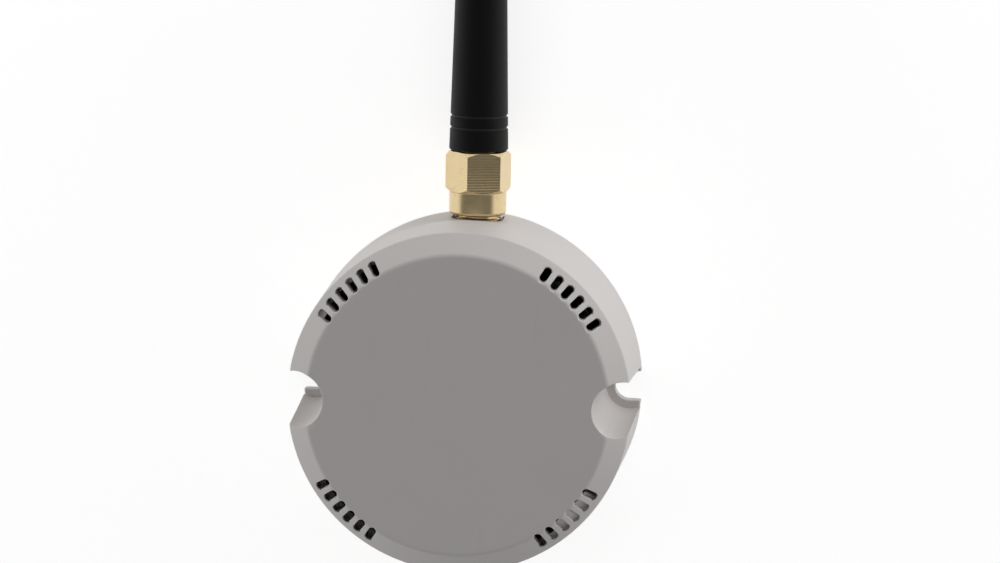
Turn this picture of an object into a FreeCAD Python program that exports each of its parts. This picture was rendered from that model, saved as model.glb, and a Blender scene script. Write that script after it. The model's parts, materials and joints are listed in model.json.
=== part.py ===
"""Round long-range bluetooth beacon with a screw-on stub antenna.

The beacon lies on its back: the origin is the centre of the back face, +Z comes out of the front
face and +Y runs along the antenna. All sizes are millimetres.
"""
import FreeCAD, Part
import math
import os

Vec = FreeCAD.Vector
Z_AXIS = Vec(0, 0, 1)
Y_AXIS = Vec(0, 1, 0)
SIDES = (1, -1)

# Case: a drafted cup with a bevelled front, closed at the back by a plate
case_height = 22.0
case_back_radius = 24.05
case_rim_radius = 23.5
case_rim_height = 19.8
case_disc_radius = 20.7
case_wall = 1.6
front_wall = 2.0
bevel_wall = 1.6
disc_edge_round = 0.5
rim_edge_round = 0.4
cover_thickness = 2.0
cover_step = 0.12
cover_edge_chamfer = 0.3

# Lip of the cover, which centres the shell
lip_clearance = 0.3
lip_width = 1.2
lip_height = 1.8

# Vents: four groups of radial slots through the bevel
vent_groups = 4
vents_per_group = 6
vent_group_angle = 45.0
vent_pitch_angle = 5.0
vent_circle_radius = 21.65
vent_length = 2.2
vent_width = 1.1
vent_depth = 4.6

# Screw pockets in the left and right edge
pocket_centre = 22.2
pocket_front_radius = 3.85
pocket_seat_radius = 3.1
pocket_wall = 1.15
screw_slot_radius = 1.9
screw_slot_wall = 1.5
screw_seat_height = 7.3
pocket_floor = 1.3

# Ribs on the inside of the shell's wall, each with an angle and a width
rib_reach = 1.6
rib_gap = 0.3
rib_places = (
    (20, 1.0), (75, 1.0), (105, 1.0), (132, 1.2), (147, 1.2),
    (200, 1.0), (250, 1.0), (290, 1.0), (316, 4.0), (340, 1.0),
)

# Circuit board
board_radius = 21.0
board_thickness = 1.6
board_edge_y = 19.2
board_notch_gap = 0.4
board_post_height = 2.1
board_post_radius = 2.0
board_screw_places = ((15.5, 10.4), (-15.5, 10.4), (14.2, -12.2), (-14.2, -12.2))
screw_shank_radius = 0.85
screw_head_radius = 1.75
screw_head_height = 1.2
screw_length = 3.2
screw_fit = 0.05
screw_hole_gap = 0.3
screw_drive_width = 0.5
screw_drive_depth = 0.6

# Coaxial jack, soldered over the edge of the board
jack_x = 0.8
jack_axis_above_board = 0.4
jack_flange_size = 6.4
jack_flange_thickness = 1.7
jack_barrel_radius = 3.05
jack_barrel_end_chamfer = 0.4
jack_leg_size = 1.0
jack_leg_length = 4.6
jack_bore_radius = 2.05
jack_contact_radius = 0.635
jack_contact_bore_depth = 3.0
jack_tail_length = 2.6
jack_slot_gap = 0.45

# Coupling nut
nut_wall_gap = 0.35
nut_skirt_radius = 4.04
nut_skirt_length = 3.1
nut_across_flats = 8.0
nut_hex_length = 5.75
nut_hex_turn = 17.0
nut_hex_chamfer = 0.7
nut_skirt_chamfer = 0.35
nut_thread_gap = 0.15
nut_rear_wall = 0.65
nut_running_gap = 0.05

# Plug inside the nut
mating_gap = 0.05
gasket_inner_radius = 2.15
gasket_thickness = 0.4
plug_collar_radius = 3.0
plug_collar_length = 0.8
plug_neck_radius = 2.55
plug_neck_length = 4.6
plug_bore_radius = 2.05
plug_pin_radius = 0.46
pin_fit = 0.04
plug_pin_reach = 2.4
snap_ring_radius = 2.95
snap_ring_thickness = 0.4
snap_ring_mouth = 1.2
ring_play = 0.15

# Stub antenna
sleeve_gap = 0.15
sleeve_length = 41.0
sleeve_base_radius = 4.21
sleeve_tip_radius = 3.2
sleeve_tip_round = 1.6
sleeve_tip_steps = 5
sleeve_end_wall = 2.4
sleeve_bore_fit = 0.02
groove_places = (3.05, 4.7)
groove_width = 0.6
groove_depth = 0.25
core_radius = 2.3
core_fit = 0.1
wire_radius = 0.5
wire_end_gap = 1.5

# Cell and its holder
cell_y = -5.5
cell_radius = 12.25
cell_height = 5.0
cell_cap_radius = 10.6
cell_gasket_width = 0.9
cell_cap_drop = 0.2
cell_crimp = 0.5
cell_edge_round = 0.35
holder_wall = 1.15
holder_cell_gap = 0.2
holder_floor = 0.9
holder_window_radius = 6.0
holder_finger_width = 10.0
holder_side_height = 5.6
holder_lip_reach = 0.9
holder_lip_height = 0.6
holder_lip_gap = 0.1
holder_lip_angles = (50, 130)
holder_lip_width = 4.0
contact_strip = 0.3
contact_width = 3.0
clip_width = 5.0
clip_foot = 1.6

# Radio parts under and beside the shield can
shield_size = (8.6, 6.6, 1.8)
shield_centre = (8.5, 12.2)
shield_sheet = 0.2
shield_corner = 0.5
radio_chip_size = (5.0, 5.0, 0.9)
radio_chip_shift = -1.3
crystal_size = (1.6, 2.0, 0.6)
crystal_shift = 2.9
amplifier_size = (3.0, 3.0, 0.8)
amplifier_y = 12.0

# Small parts
passive_size = (1.0, 0.5, 0.5)
passive_places = (
    (-2.6, 10.6), (-2.6, 11.6), (-2.6, 12.6), (3.3, 9.6), (3.3, 10.6), (3.3, 11.6),
    (2.0, 15.2), (-0.4, 15.2), (-11.9, 10.6), (-11.9, 9.4), (13.9, 5.6), (13.9, 4.6), (15.6, 5.6),
)
capacitor_centre = (-14.3, 5.2)
capacitor_radius = 2.0
capacitor_height = 5.0
capacitor_base_size = 4.3
capacitor_base_height = 0.7
capacitor_edge_round = 0.4
led_centre = (-12.0, 13.2)
led_size = (1.6, 0.8, 0.4)
led_lens_size = (1.0, 0.8, 0.3)

# Switch beside the jack
switch_centre = (-7.0, 12.0)
switch_size = 4.5
switch_height = 1.9
switch_frame_sheet = 0.2
switch_well_radius = 1.5
switch_well_depth = 1.3
switch_button_radius = 1.1
switch_button_height = 2.3
switch_button_gap = 0.1
switch_collar_radius = 1.4
switch_collar_height = 0.5
switch_collar_play = 0.05
switch_dome_radius = 1.4
switch_dome_rise = 0.4
switch_dome_sheet = 0.1

# Places that follow from the sizes above
draft = (case_back_radius - case_rim_radius) / case_rim_height
board_bottom = cover_thickness + board_post_height
board_top = board_bottom + board_thickness
jack_z = board_top + jack_axis_above_board
flange_front_y = board_edge_y + jack_flange_thickness
nut_start_y = case_back_radius - draft * jack_z + nut_wall_gap
hex_start_y = nut_start_y + nut_skirt_length
nut_end_y = hex_start_y + nut_hex_length
collar_end_y = nut_end_y - nut_rear_wall - ring_play - snap_ring_thickness
collar_start_y = collar_end_y - plug_collar_length
plug_start_y = collar_start_y - gasket_thickness
jack_end_y = plug_start_y - mating_gap
sleeve_start_y = nut_end_y + sleeve_gap
neck_end_y = sleeve_start_y + plug_neck_length
sleeve_end_y = sleeve_start_y + sleeve_length
cell_bottom = board_top + holder_floor + contact_strip
cell_top = cell_bottom + cell_height
holder_radius = cell_radius + holder_cell_gap + holder_wall


def outer_radius(z):
    """Outside radius of the drafted wall at height z."""
    return case_back_radius - draft * z


def inner_radius(z):
    """Inside radius of the drafted wall at height z."""
    return outer_radius(z) - case_wall


def box(x0, x1, y0, y1, z0, z1):
    """Box between two corners."""
    return Part.makeBox(x1 - x0, y1 - y0, z1 - z0, Vec(x0, y0, z0))


def block(centre, size, z0):
    """Box of the given size, centred over a place, standing on z0."""
    half_x = size[0] / 2
    half_y = size[1] / 2
    x, y = centre
    return box(x - half_x, x + half_x, y - half_y, y + half_y, z0, z0 + size[2])


def post(radius, z0, z1, x=0.0, y=0.0):
    """Upright cylinder from z0 to z1."""
    return Part.makeCylinder(radius, z1 - z0, Vec(x, y, z0), Z_AXIS)


def bar(radius, y0, y1):
    """Cylinder along the jack's axis from y0 to y1."""
    return Part.makeCylinder(radius, y1 - y0, Vec(jack_x, y0, jack_z), Y_AXIS)


def taper(radius0, radius1, z0, z1, x=0.0, y=0.0):
    """Upright cone from radius0 at z0 to radius1 at z1."""
    return Part.makeCone(radius0, radius1, z1 - z0, Vec(x, y, z0), Z_AXIS)


def turned_upright(profile):
    """Solid turned about the case's axis from (radius, z) points."""
    points = [Vec(r, 0, z) for r, z in profile]
    face = Part.Face(Part.makePolygon(points + [points[0]]))
    return face.revolve(Vec(0, 0, 0), Z_AXIS, 360)


def turned_on_jack(profile):
    """Solid turned about the jack's axis from (radius, y) points."""
    points = [Vec(jack_x + r, y, jack_z) for r, y in profile]
    face = Part.Face(Part.makePolygon(points + [points[0]]))
    return face.revolve(Vec(jack_x, 0, jack_z), Y_AXIS, 360)


def round_circles(solid, radius, places):
    """Fillet the circular edges whose centres lie at the given (circle radius, z) places."""
    edges = []
    for edge in solid.Edges:
        if not isinstance(edge.Curve, Part.Circle):
            continue
        for circle_radius, z in places:
            same_radius = abs(edge.Curve.Radius - circle_radius) < 0.001
            if same_radius and abs(edge.Curve.Center.z - z) < 0.001:
                edges.append(edge)
    return solid.makeFillet(radius, edges)


def case_envelope(z0):
    """Outside form of the case above z0, with its two front edges rounded."""
    solid = turned_upright([
        (0, z0),
        (outer_radius(z0), z0),
        (case_rim_radius, case_rim_height),
        (case_disc_radius, case_height),
        (0, case_height),
    ])
    solid = round_circles(solid, disc_edge_round, [(case_disc_radius, case_height)])
    return round_circles(solid, rim_edge_round, [(case_rim_radius, case_rim_height)])


def case_cavity(z0):
    """Space inside the shell, parallel to its wall, bevel and front."""
    slope = (case_height - case_rim_height) / (case_rim_radius - case_disc_radius)
    drop = bevel_wall * math.hypot(1, slope)
    ceiling = case_height - front_wall
    wall_top_radius = case_rim_radius - case_wall
    wall_top = case_rim_height + case_wall * slope - drop
    ceiling_radius = case_rim_radius - (ceiling - case_rim_height + drop) / slope
    return turned_upright([
        (0, z0),
        (inner_radius(z0), z0),
        (wall_top_radius, wall_top),
        (ceiling_radius, ceiling),
        (0, ceiling),
    ])


def u_slot(radius, z0, z1, side):
    """Round-ended slot at a screw place, open to the outside of the case."""
    reach = case_back_radius + radius
    end = post(radius, z0, z1, side * pocket_centre)
    mouth = box(min(side * pocket_centre, side * reach), max(side * pocket_centre, side * reach),
                -radius, radius, z0, z1)
    return end.fuse(mouth)


def screw_pocket(side):
    """Tapered well, countersunk seat and narrow slot that take one fixing screw."""
    x = side * pocket_centre
    seat_top = screw_seat_height + pocket_seat_radius - screw_slot_radius
    well = taper(pocket_seat_radius, pocket_front_radius, seat_top, case_height + 0.1, x)
    seat = taper(screw_slot_radius, pocket_seat_radius, screw_seat_height, seat_top, x)
    slot = u_slot(screw_slot_radius, -1, screw_seat_height, side)
    return well.fuse([seat, slot])


def pocket_surround(side):
    """Plastic that the shell has round one screw pocket."""
    floor = screw_seat_height - pocket_floor
    well = post(pocket_front_radius + pocket_wall, floor, case_height, side * pocket_centre)
    sleeve = u_slot(screw_slot_radius + screw_slot_wall, cover_thickness, floor, side)
    return well.fuse(sleeve)


def vent_slot(angle):
    """One radial slot of the bevel, cut straight down: two lines and two half circles."""
    half = (vent_length - vent_width) / 2
    near = vent_circle_radius - half
    far = vent_circle_radius + half
    end_radius = vent_width / 2
    z0 = case_height - vent_depth
    outline = Part.Wire([
        Part.makeLine(Vec(near, -end_radius, z0), Vec(far, -end_radius, z0)),
        Part.Arc(Vec(far, -end_radius, z0), Vec(far + end_radius, 0, z0),
                 Vec(far, end_radius, z0)).toShape(),
        Part.makeLine(Vec(far, end_radius, z0), Vec(near, end_radius, z0)),
        Part.Arc(Vec(near, end_radius, z0), Vec(near - end_radius, 0, z0),
                 Vec(near, -end_radius, z0)).toShape(),
    ])
    slot = Part.Face(outline).extrude(Vec(0, 0, vent_depth + 0.1))
    slot.rotate(Vec(0, 0, 0), Z_AXIS, angle)
    return slot


def all_vents():
    """Every slot of the four groups."""
    slots = []
    for group in range(vent_groups):
        middle = vent_group_angle + 360 / vent_groups * group
        for number in range(vents_per_group):
            offset = (number - (vents_per_group - 1) / 2) * vent_pitch_angle
            slots.append(vent_slot(middle + offset))
    return slots


def wall_rib(angle, width):
    """Upright rib on the inside of the wall, just clear of the board."""
    z0 = board_top + rib_gap
    rib = box(inner_radius(z0) - rib_reach, case_back_radius, -width / 2, width / 2,
              z0, case_height)
    rib.rotate(Vec(0, 0, 0), Z_AXIS, angle)
    return rib


def jack_opening():
    """Slot in the shell's wall for the barrel, open towards the back cover."""
    radius = jack_barrel_radius + jack_slot_gap
    y0 = inner_radius(0) - 3 * case_wall
    y1 = case_back_radius + 1
    return bar(radius, y0, y1).fuse(box(jack_x - radius, jack_x + radius, y0, y1, -1, jack_z))


def make_front_shell():
    """Drafted cup with pockets, vents, ribs and the opening for the jack."""
    kept = [pocket_surround(side) for side in SIDES]
    kept += [wall_rib(angle, width) for angle, width in rib_places]
    hollow = case_cavity(cover_thickness).cut(kept)
    shell = case_envelope(cover_thickness).cut(hollow)
    openings = [screw_pocket(side) for side in SIDES] + all_vents() + [jack_opening()]
    return shell.cut(openings).removeSplitter()


def make_base_cover():
    """Back plate with a centring lip, board posts and a cradle under the barrel."""
    edge_radius = outer_radius(cover_thickness) - cover_step
    plate = turned_upright([
        (0, 0),
        (edge_radius - cover_edge_chamfer, 0),
        (edge_radius, cover_edge_chamfer),
        (edge_radius, cover_thickness),
        (0, cover_thickness),
    ])
    lip_top = cover_thickness + lip_height
    lip_radius = inner_radius(lip_top) - lip_clearance
    lip = post(lip_radius, cover_thickness, lip_top).cut(
        post(lip_radius - lip_width, cover_thickness, lip_top))
    flange_room = jack_flange_size / 2 + 1
    lip = lip.cut(box(jack_x - flange_room, jack_x + flange_room, 0, case_back_radius,
                      0, lip_top))
    slot_room = screw_slot_radius + screw_slot_wall + lip_clearance
    lip = lip.cut([u_slot(slot_room, cover_thickness, lip_top, side) for side in SIDES])
    posts = [post(board_post_radius, cover_thickness, board_bottom, x, y)
             for x, y in board_screw_places]
    cover = plate.fuse([lip, make_cradle()] + posts)
    bores = [post(screw_shank_radius + screw_fit, board_top - screw_length - screw_fit,
                  board_bottom, x, y) for x, y in board_screw_places]
    slots = [u_slot(screw_slot_radius, -1, cover_thickness + 1, side) for side in SIDES]
    return cover.cut(bores + slots).removeSplitter()


def make_cradle():
    """Tongue of the cover that fills the shell's slot below the barrel."""
    half_width = jack_barrel_radius + jack_slot_gap - lip_clearance
    top = jack_z - 0.6 * jack_barrel_radius
    y0 = flange_front_y + lip_clearance
    tongue = box(jack_x - half_width, jack_x + half_width, y0, case_back_radius,
                 cover_thickness, top)
    round_end = post(outer_radius(cover_thickness) - cover_step, cover_thickness, top)
    return tongue.common(round_end).cut(
        bar(jack_barrel_radius + lip_clearance, y0, case_back_radius))


def make_circuit_board():
    """Round board, cut straight at the jack and notched at the screw pockets."""
    board = post(board_radius, board_bottom, board_top)
    board = board.cut(box(-board_radius, board_radius, board_edge_y, board_radius + 1,
                          board_bottom, board_top))
    notch_radius = screw_slot_radius + screw_slot_wall + board_notch_gap
    cuts = [u_slot(notch_radius, board_bottom, board_top, side) for side in SIDES]
    cuts += [post(screw_shank_radius + screw_hole_gap, board_bottom, board_top, x, y)
             for x, y in board_screw_places]
    return board.cut(cuts)


def make_board_screws():
    """Four screws with a coned head and a cross drive."""
    screws = []
    crown = screw_head_height / 3
    top = board_top + screw_head_height
    half = screw_drive_width / 2
    reach = screw_head_radius * 0.6
    for x, y in board_screw_places:
        shank = post(screw_shank_radius, board_top - screw_length, board_top, x, y)
        head = post(screw_head_radius, board_top, top - crown, x, y)
        cone = taper(screw_head_radius, screw_head_radius - crown, top - crown, top, x, y)
        drive = [box(x - reach, x + reach, y - half, y + half, top - screw_drive_depth, top + 1),
                 box(x - half, x + half, y - reach, y + reach, top - screw_drive_depth, top + 1)]
        screws.append(shank.fuse([head, cone]).cut(drive))
    return Part.makeCompound(screws)


def make_jack_body():
    """Square flange with four legs over the board's edge, and the barrel for the nut."""
    half = jack_flange_size / 2
    flange = box(jack_x - half, jack_x + half, board_edge_y, flange_front_y,
                 jack_z - half, jack_z + half)
    barrel = turned_on_jack([
        (0, flange_front_y),
        (jack_barrel_radius, flange_front_y),
        (jack_barrel_radius, jack_end_y - jack_barrel_end_chamfer),
        (jack_barrel_radius - jack_barrel_end_chamfer, jack_end_y),
        (0, jack_end_y),
    ])
    legs = []
    for side in SIDES:
        x0 = jack_x + min(side * half, side * (half - jack_leg_size))
        for z0 in (board_top, board_bottom - jack_leg_size):
            legs.append(box(x0, x0 + jack_leg_size, board_edge_y - jack_leg_length, board_edge_y,
                            z0, z0 + jack_leg_size))
    body = flange.fuse([barrel] + legs)
    return body.cut(bar(jack_bore_radius, board_edge_y, jack_end_y)).removeSplitter()


def make_jack_insulator():
    """White sleeve between the jack's body and its centre contact."""
    return bar(jack_bore_radius, board_edge_y, jack_end_y).cut(
        bar(jack_contact_radius, board_edge_y, jack_end_y))


def make_jack_contact():
    """Centre contact: a socket for the plug's pin and a thin tail on the board."""
    socket = bar(jack_contact_radius, board_edge_y, jack_end_y)
    tail = bar(jack_axis_above_board, board_edge_y - jack_tail_length, board_edge_y)
    bore = bar(plug_pin_radius + pin_fit, jack_end_y - jack_contact_bore_depth, jack_end_y)
    return socket.fuse(tail).cut(bore)


def make_coupling_nut():
    """Round skirt and chamfered hexagon with a stepped bore."""
    corner_radius = nut_across_flats / math.sqrt(3)
    corners = []
    for number in range(7):
        angle = math.radians(60 * number + 30 - nut_hex_turn + 90)
        corners.append(Vec(jack_x + corner_radius * math.cos(angle), hex_start_y,
                           jack_z + corner_radius * math.sin(angle)))
    hexagon = Part.Face(Part.makePolygon(corners)).extrude(Vec(0, nut_hex_length, 0))
    flat_radius = corner_radius - nut_hex_chamfer
    chamfer = nut_hex_chamfer / 2
    hexagon = hexagon.common(turned_on_jack([
        (0, hex_start_y),
        (flat_radius, hex_start_y),
        (corner_radius, hex_start_y + chamfer),
        (corner_radius, nut_end_y - chamfer),
        (flat_radius, nut_end_y),
        (0, nut_end_y),
    ]))
    skirt = turned_on_jack([
        (0, nut_start_y),
        (nut_skirt_radius - nut_skirt_chamfer, nut_start_y),
        (nut_skirt_radius, nut_start_y + nut_skirt_chamfer),
        (nut_skirt_radius, hex_start_y),
        (0, hex_start_y),
    ])
    thread_bore = bar(jack_barrel_radius + nut_thread_gap, nut_start_y, nut_end_y - nut_rear_wall)
    rear_bore = bar(plug_neck_radius + nut_running_gap, nut_start_y, nut_end_y)
    return hexagon.fuse(skirt).cut([thread_bore, rear_bore]).removeSplitter()


def make_plug_gasket():
    """Soft ring on the plug's front face."""
    return bar(plug_collar_radius, plug_start_y, collar_start_y).cut(
        bar(gasket_inner_radius, plug_start_y, collar_start_y))


def make_plug_body():
    """Collar behind the gasket and neck through the nut into the sleeve."""
    body = bar(plug_collar_radius, collar_start_y, collar_end_y).fuse(
        bar(plug_neck_radius, collar_end_y, neck_end_y))
    return body.cut(bar(plug_bore_radius, collar_start_y, neck_end_y)).removeSplitter()


def make_snap_ring():
    """Split ring behind the collar that keeps the nut on the plug."""
    y0 = collar_end_y
    y1 = y0 + snap_ring_thickness
    ring = bar(snap_ring_radius, y0, y1).cut(bar(plug_neck_radius, y0, y1))
    mouth = box(jack_x - snap_ring_mouth / 2, jack_x + snap_ring_mouth / 2, y0, y1,
                jack_z - snap_ring_radius, jack_z)
    return ring.cut(mouth)


def make_plug_insulator():
    """White core of the plug, round the pin."""
    return bar(plug_bore_radius, plug_start_y, neck_end_y).cut(
        bar(plug_pin_radius, plug_start_y, neck_end_y))


def make_plug_pin():
    """Pin that enters the jack's contact, with a tapered tip."""
    tip = plug_start_y - plug_pin_reach
    return turned_on_jack([
        (0, tip),
        (plug_pin_radius / 2, tip),
        (plug_pin_radius, tip + plug_pin_radius),
        (plug_pin_radius, neck_end_y),
        (0, neck_end_y),
    ])


def make_antenna_sleeve():
    """Tapered rubber sleeve with two shallow ring grooves and a rounded tip."""
    def radius_at(distance):
        share = distance / sleeve_length
        return sleeve_base_radius + (sleeve_tip_radius - sleeve_base_radius) * share

    outline = [(0, sleeve_start_y), (sleeve_base_radius, sleeve_start_y)]
    for place in groove_places:
        before = place - groove_width / 2
        after = place + groove_width / 2
        outline += [
            (radius_at(before), sleeve_start_y + before),
            (radius_at(place) - groove_depth, sleeve_start_y + place - groove_width / 4),
            (radius_at(place) - groove_depth, sleeve_start_y + place + groove_width / 4),
            (radius_at(after), sleeve_start_y + after),
        ]
    for step in range(sleeve_tip_steps + 1):
        angle = math.pi / 2 * step / sleeve_tip_steps
        outline.append((sleeve_tip_radius - sleeve_tip_round * (1 - math.cos(angle)),
                        sleeve_end_y - sleeve_tip_round * (1 - math.sin(angle))))
    outline.append((0, sleeve_end_y))
    sleeve = turned_on_jack(outline)
    neck_bore = bar(plug_neck_radius + sleeve_bore_fit, sleeve_start_y, neck_end_y)
    core_bore = bar(core_radius + core_fit, neck_end_y, sleeve_end_y - sleeve_end_wall)
    return sleeve.cut([neck_bore, core_bore])


def make_antenna_core():
    """Plastic rod that centres the wire in the sleeve."""
    core = bar(core_radius, neck_end_y, sleeve_end_y - sleeve_end_wall - core_fit)
    return core.cut(bar(wire_radius, neck_end_y, sleeve_end_y - sleeve_end_wall - wire_end_gap))


def make_antenna_wire():
    """Copper wire on the end of the pin."""
    return bar(wire_radius, neck_end_y, sleeve_end_y - sleeve_end_wall - wire_end_gap)


def make_cell_holder():
    """Open ring with a floor, a finger gap and two lips that keep the cell in."""
    ring_top = board_top + holder_side_height
    lip_bottom = cell_top + holder_lip_gap
    lip_top = lip_bottom + holder_lip_height
    well_radius = cell_radius + holder_cell_gap
    holder = post(holder_radius, board_top, ring_top, 0, cell_y)
    holder = holder.cut([
        post(well_radius, board_top + holder_floor, ring_top, 0, cell_y),
        post(holder_window_radius, board_top, board_top + holder_floor, 0, cell_y),
        box(-holder_finger_width / 2, holder_finger_width / 2, cell_y - holder_radius - 1, cell_y,
            board_top + holder_floor, ring_top),
    ])
    towers = []
    for angle in holder_lip_angles:
        tower = box(well_radius - holder_lip_reach, holder_radius,
                    -holder_lip_width / 2, holder_lip_width / 2, board_top, lip_top)
        tower = tower.cut(box(0, well_radius, -holder_lip_width, holder_lip_width,
                              board_top, lip_bottom))
        tower.rotate(Vec(0, 0, 0), Z_AXIS, angle)
        tower.translate(Vec(0, cell_y, 0))
        towers.append(tower)
    return holder.fuse(towers).removeSplitter()


def make_negative_contact():
    """Spring strip across the holder's floor, with a foot on the board."""
    z0 = board_top + holder_floor
    half = contact_width / 2
    reach = cell_cap_radius - 1
    strip = box(-half, half, cell_y - reach, cell_y + reach, z0, z0 + contact_strip)
    foot = post(half, board_top, z0, 0, cell_y)
    return strip.fuse(foot)


def make_positive_clip():
    """Flat clip over the cell with a leg and a foot on each side."""
    half = clip_width / 2
    leg_x = holder_radius
    out_x = leg_x + contact_strip
    strap = box(-out_x, out_x, cell_y - half, cell_y + half, cell_top, cell_top + contact_strip)
    pieces = []
    for side in SIDES:
        x0 = min(side * leg_x, side * out_x)
        pieces.append(box(x0, x0 + contact_strip, cell_y - half, cell_y + half,
                          board_top, cell_top + contact_strip))
        foot_x = min(side * leg_x, side * (out_x + clip_foot))
        pieces.append(box(foot_x, foot_x + contact_strip + clip_foot, cell_y - half,
                          cell_y + half, board_top, board_top + contact_strip))
    return strap.fuse(pieces).removeSplitter()


def make_cell_can():
    """Positive can of the coin cell, recessed below for the gasket and the cap."""
    gasket_radius = cell_cap_radius + cell_gasket_width
    z0 = cell_bottom + cell_cap_drop
    can = turned_upright([
        (0, z0 + cell_crimp),
        (gasket_radius, z0 + cell_crimp),
        (gasket_radius, z0),
        (cell_radius - cell_edge_round, z0),
        (cell_radius, z0 + cell_edge_round),
        (cell_radius, cell_top - cell_edge_round),
        (cell_radius - cell_edge_round, cell_top),
        (0, cell_top),
    ])
    can.translate(Vec(0, cell_y, 0))
    return can


def make_cell_gasket():
    """Grommet between the can and the cap."""
    gasket_radius = cell_cap_radius + cell_gasket_width
    z0 = cell_bottom + cell_cap_drop
    return post(gasket_radius, z0, z0 + cell_crimp, 0, cell_y).cut(
        post(cell_cap_radius, z0, z0 + cell_crimp, 0, cell_y))


def make_cell_cap():
    """Negative cap of the coin cell."""
    return post(cell_cap_radius, cell_bottom, cell_bottom + cell_cap_drop + cell_crimp, 0, cell_y)


def upright_edges(solid):
    """Edges that run along Z."""
    return [edge for edge in solid.Edges
            if abs(edge.tangentAt(edge.FirstParameter).z) > 0.999 and len(edge.Vertexes) == 2]


def make_shield_can():
    """Folded metal box, open below, over the radio chip."""
    width, depth, height = shield_size
    can = block(shield_centre, shield_size, board_top)
    can = can.makeFillet(shield_corner, upright_edges(can))
    inner = (width - 2 * shield_sheet, depth - 2 * shield_sheet, height - shield_sheet)
    return can.cut(block(shield_centre, inner, board_top))


def make_radio_chip():
    """Radio chip under the shield can."""
    centre = (shield_centre[0] + radio_chip_shift, shield_centre[1])
    return block(centre, radio_chip_size, board_top)


def make_crystal():
    """Crystal beside the radio chip, under the same can."""
    centre = (shield_centre[0] + crystal_shift, shield_centre[1])
    return block(centre, crystal_size, board_top)


def make_amplifier_chip():
    """Amplifier chip in line with the jack."""
    return block((jack_x, amplifier_y), amplifier_size, board_top)


def make_passives():
    """Small resistors and capacitors."""
    return Part.makeCompound([block(place, passive_size, board_top) for place in passive_places])


def make_capacitor_base():
    """Moulded base of the bulk capacitor."""
    size = (capacitor_base_size, capacitor_base_size, capacitor_base_height)
    return block(capacitor_centre, size, board_top)


def make_capacitor_can():
    """Aluminium can of the bulk capacitor, with a coned shoulder."""
    z0 = board_top + capacitor_base_height
    shoulder = z0 + capacitor_height - capacitor_edge_round
    x, y = capacitor_centre
    can = post(capacitor_radius, z0, shoulder, x, y)
    return can.fuse(taper(capacitor_radius, capacitor_radius - capacitor_edge_round, shoulder,
                          z0 + capacitor_height, x, y))


def make_status_light():
    """Small light: a white base with a clear block on it."""
    base = block(led_centre, led_size, board_top)
    return base.fuse(block(led_centre, led_lens_size, board_top + led_size[2]))


def make_switch_housing():
    """Square base of the switch with a round well."""
    x, y = switch_centre
    top = board_top + switch_height
    housing = block(switch_centre, (switch_size, switch_size, switch_height), board_top)
    return housing.cut(post(switch_well_radius, top - switch_well_depth, top, x, y))


def make_switch_frame():
    """Metal plate that closes the well round the button."""
    x, y = switch_centre
    z0 = board_top + switch_height
    plate = block(switch_centre, (switch_size, switch_size, switch_frame_sheet), z0)
    hole = post(switch_button_radius + switch_button_gap, z0, z0 + switch_frame_sheet, x, y)
    return plate.cut(hole)


def make_switch_button():
    """Round button with a collar under the frame."""
    x, y = switch_centre
    collar_top = board_top + switch_height - switch_collar_play
    collar_bottom = collar_top - switch_collar_height
    collar = post(switch_collar_radius, collar_bottom, collar_top, x, y)
    return collar.fuse(post(switch_button_radius, collar_bottom,
                            collar_bottom + switch_button_height, x, y)).removeSplitter()


def make_switch_dome():
    """Domed snap disc on the floor of the well."""
    x, y = switch_centre
    z0 = board_top + switch_height - switch_well_depth
    sphere = (switch_dome_radius ** 2 + switch_dome_rise ** 2) / (2 * switch_dome_rise)
    centre = Vec(x, y, z0 + switch_dome_rise - sphere)
    inner_centre = Vec(x, y, centre.z - switch_dome_sheet)
    cap = Part.makeSphere(sphere, centre).cut(Part.makeSphere(sphere, inner_centre))
    return cap.common(post(switch_dome_radius, z0, z0 + switch_dome_rise, x, y))


NODES = {
    "base_cover": make_base_cover,
    "front_shell": make_front_shell,
    "circuit_board": make_circuit_board,
    "board_screws": make_board_screws,
    "jack_body": make_jack_body,
    "jack_insulator": make_jack_insulator,
    "jack_contact": make_jack_contact,
    "coupling_nut": make_coupling_nut,
    "plug_gasket": make_plug_gasket,
    "plug_body": make_plug_body,
    "snap_ring": make_snap_ring,
    "plug_insulator": make_plug_insulator,
    "plug_pin": make_plug_pin,
    "antenna_sleeve": make_antenna_sleeve,
    "antenna_core": make_antenna_core,
    "antenna_wire": make_antenna_wire,
    "cell_holder": make_cell_holder,
    "negative_contact": make_negative_contact,
    "positive_clip": make_positive_clip,
    "cell_can": make_cell_can,
    "cell_gasket": make_cell_gasket,
    "cell_cap": make_cell_cap,
    "shield_can": make_shield_can,
    "radio_chip": make_radio_chip,
    "crystal": make_crystal,
    "amplifier_chip": make_amplifier_chip,
    "passives": make_passives,
    "capacitor_base": make_capacitor_base,
    "capacitor_can": make_capacitor_can,
    "status_light": make_status_light,
    "switch_housing": make_switch_housing,
    "switch_frame": make_switch_frame,
    "switch_dome": make_switch_dome,
    "switch_button": make_switch_button,
}

os.makedirs("parts", exist_ok=True)
for name, make in NODES.items():
    shape = make()
    shape.exportStep("parts/" + name + ".step")
    size = shape.BoundBox
    print("%-18s %2d solid  valid %s  volume %8.2f  z %6.2f to %6.2f"
          % (name, len(shape.Solids), shape.isValid(), shape.Volume, size.ZMin, size.ZMax))
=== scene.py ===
# %% [markdown]
# # A round beacon with a stub antenna
# The beacon is a pale moulded case that lies on its back, with a gilt coupling nut and a black
# rubber antenna on its rim. The CAD model gives every place and size. This lesson dresses it: it
# builds the surfaces that are seen with numpy, in millimetres, and gives each one the finish that
# it has from its tool, lathe or press.

# %% Open the frame
import json
import math
import bmesh
import bpy
import numpy as np
from mathutils import Matrix, Vector

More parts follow.
